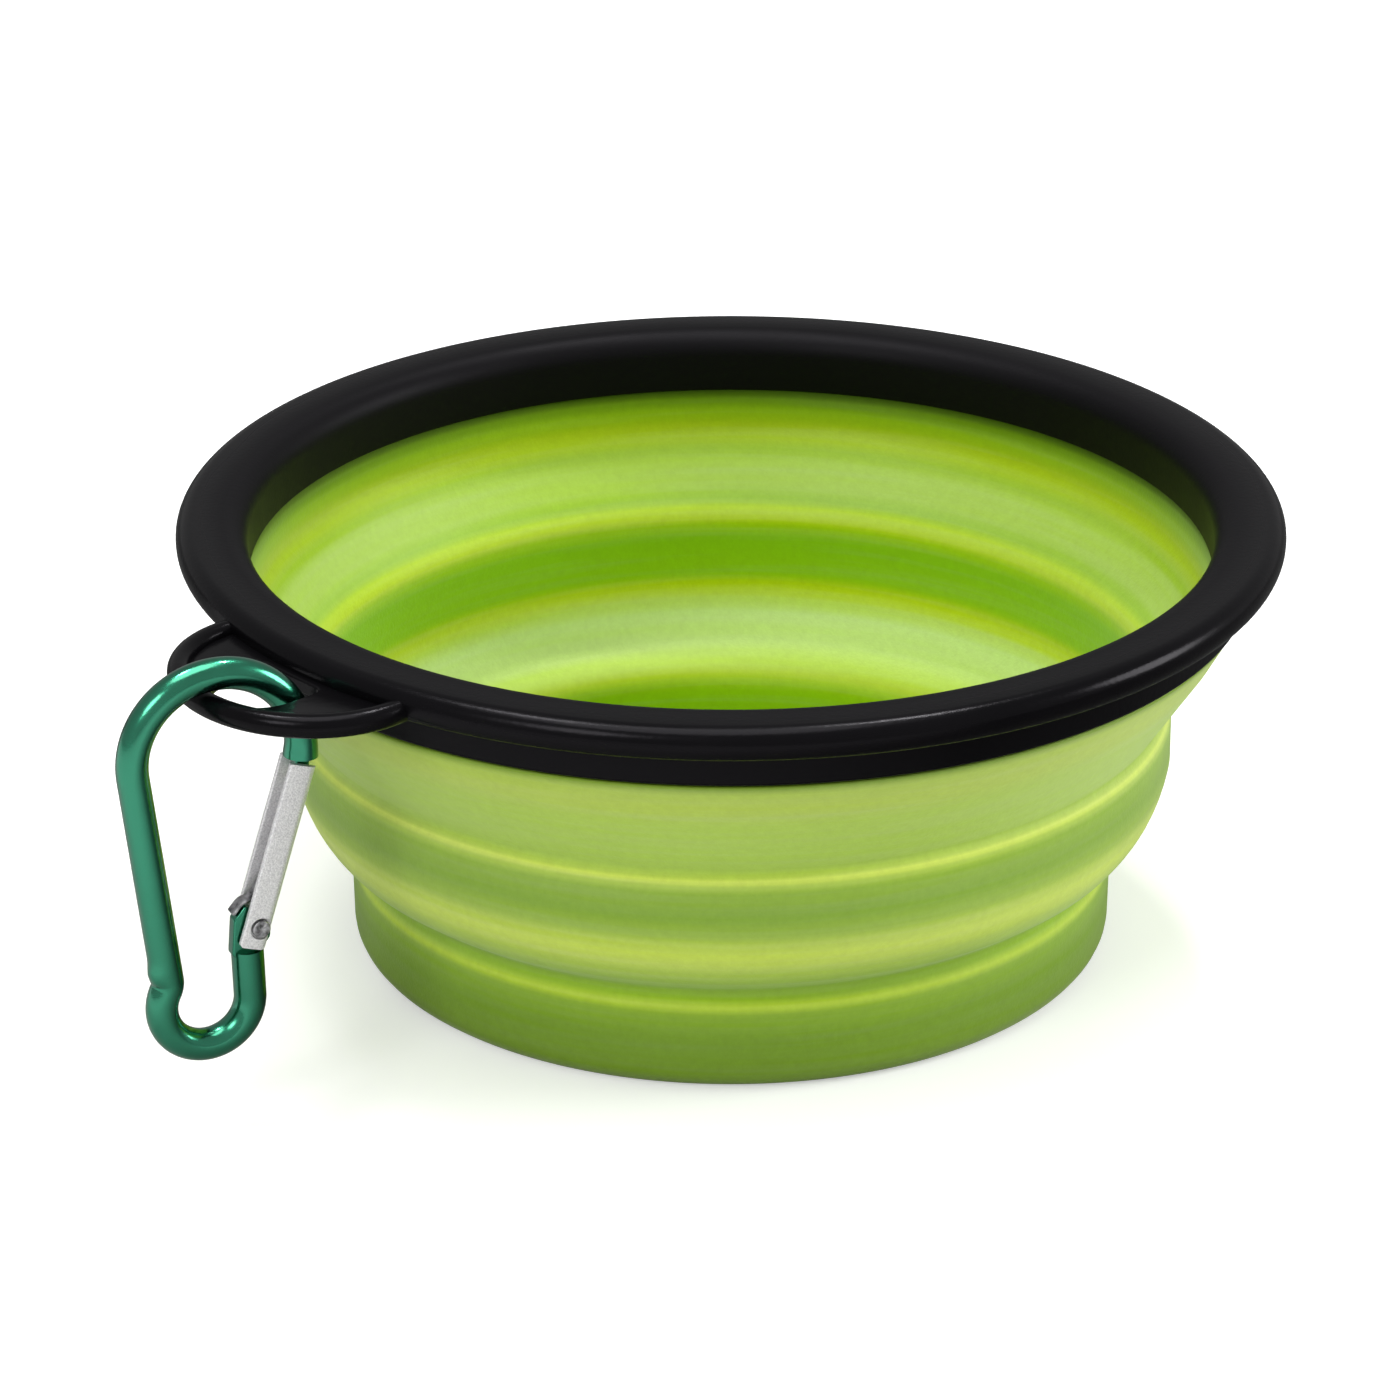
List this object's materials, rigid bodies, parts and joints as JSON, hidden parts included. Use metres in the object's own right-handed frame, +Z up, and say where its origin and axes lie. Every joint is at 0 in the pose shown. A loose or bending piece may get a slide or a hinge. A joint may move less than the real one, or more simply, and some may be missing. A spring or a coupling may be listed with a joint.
{
  "type": "collapsible pet bowl",
  "caption": "Round soft bowl with stepped walls that fold flat into a stiff rim, and a carabiner with a sprung gate hanging from a tab on the rim.",
  "frame": {"origin": "centre of the base's flat underside", "axes": "+Z up along the bowl's axis, -Y towards the viewer of the picture, +X to the viewer's right"},
  "size_m": [0.1322, 0.13, 0.057],
  "materials": {
    "black_plastic": "satin moulded",
    "green_silicone": "satin moulded",
    "green_anodised": "satin anodised",
    "bare_aluminium": "blasted",
    "steel": "plain"
  },
  "bodies": {
    "rim": {"rim_ring": "black_plastic", "upper_wall": "green_silicone", "upper_fold": "green_silicone"},
    "middle": {"middle_wall": "green_silicone", "lower_fold": "green_silicone"},
    "base": {"base_cup": "green_silicone"},
    "hook": {"carabiner_hook": "green_anodised", "gate_rivet": "steel", "gate_spring": "steel"},
    "gate": {"carabiner_gate": "bare_aluminium"}
  },
  "joints": [
    {"name": "fold_upper", "type": "slide", "parent": "rim", "child": "middle", "axis": [0, 0, 1], "range_m": [0, 0.0192], "deforming": ["upper_fold"]},
    {"name": "fold_lower", "type": "slide", "parent": "middle", "child": "base", "axis": [0, 0, 1], "range_m": [0, 0.018], "deforming": ["lower_fold"]},
    {"name": "carabiner_swing", "type": "hinge", "parent": "rim", "child": "hook", "pos_m": [-0.05694, -0.05218, 0.05135], "axis": [-0.6756, 0.7373, 0], "range_deg": [-6, 100]},
    {"name": "gate_open", "type": "hinge", "parent": "hook", "child": "gate", "pos_m": [-0.05297, -0.05041, 0.02415], "axis": [0.4067, -0.9135, 0], "range_deg": [0, 25], "stiffness_Nm_per_rad": 0.05, "springref_deg": -17.19, "deforming": ["gate_spring"]}
  ]
}
